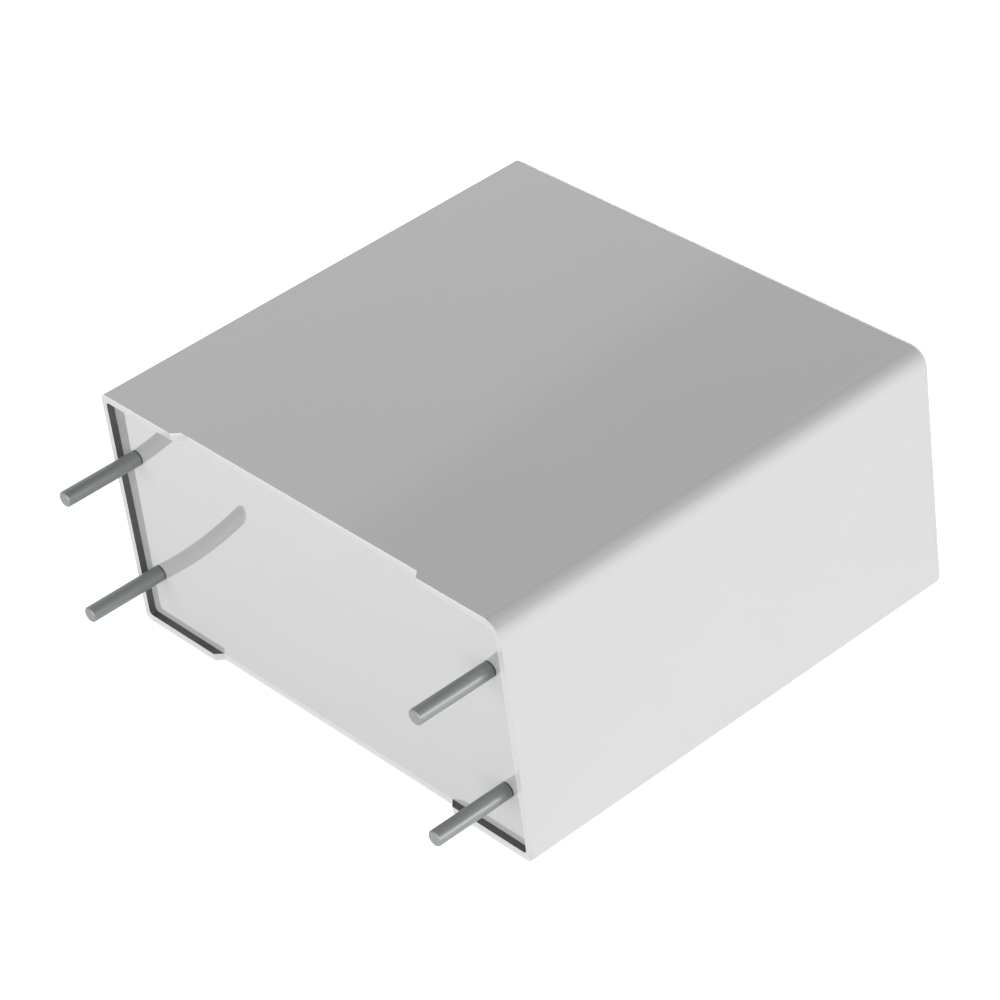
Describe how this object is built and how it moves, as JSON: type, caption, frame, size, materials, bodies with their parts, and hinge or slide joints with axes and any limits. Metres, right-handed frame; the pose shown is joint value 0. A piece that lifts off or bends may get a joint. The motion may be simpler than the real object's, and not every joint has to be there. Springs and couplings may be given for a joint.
{
  "type": "box film capacitor",
  "caption": "Rectangular moulded box filled with resin, with round wire leads on its open side between low standoff feet; one long edge is broadly rounded.",
  "frame": {"origin": "middle of the pattern of leads, on the plane of the standoff feet that seat on the circuit board", "axes": "+X along the length of the box and the long lead pitch, -Y the way the leads point, +Z through the thickness, up as the box lies on its broad side"},
  "size_m": [0.042, 0.046, 0.02],
  "materials": {
    "case_plastic": "satin, light grey",
    "potting_resin": "smooth and glossy, poured and set",
    "winding_film": "metallised film, wound and pressed",
    "sprayed_zinc": "rough sprayed metal",
    "tinned_wire": "drawn copper wire, bright tinned",
    "solder": "smooth tin solder"
  },
  "bodies": {
    "root": {"case": "case_plastic", "potting_resin": "potting_resin", "film_winding": "winding_film", "end_contact_left": "sprayed_zinc", "end_contact_right": "sprayed_zinc", "lead_left_lower": "tinned_wire", "lead_left_upper": "tinned_wire", "lead_right_lower": "tinned_wire", "lead_right_upper": "tinned_wire", "solder_left_lower": "solder", "solder_left_upper": "solder", "solder_right_lower": "solder", "solder_right_upper": "solder"}
  },
  "joints": []
}
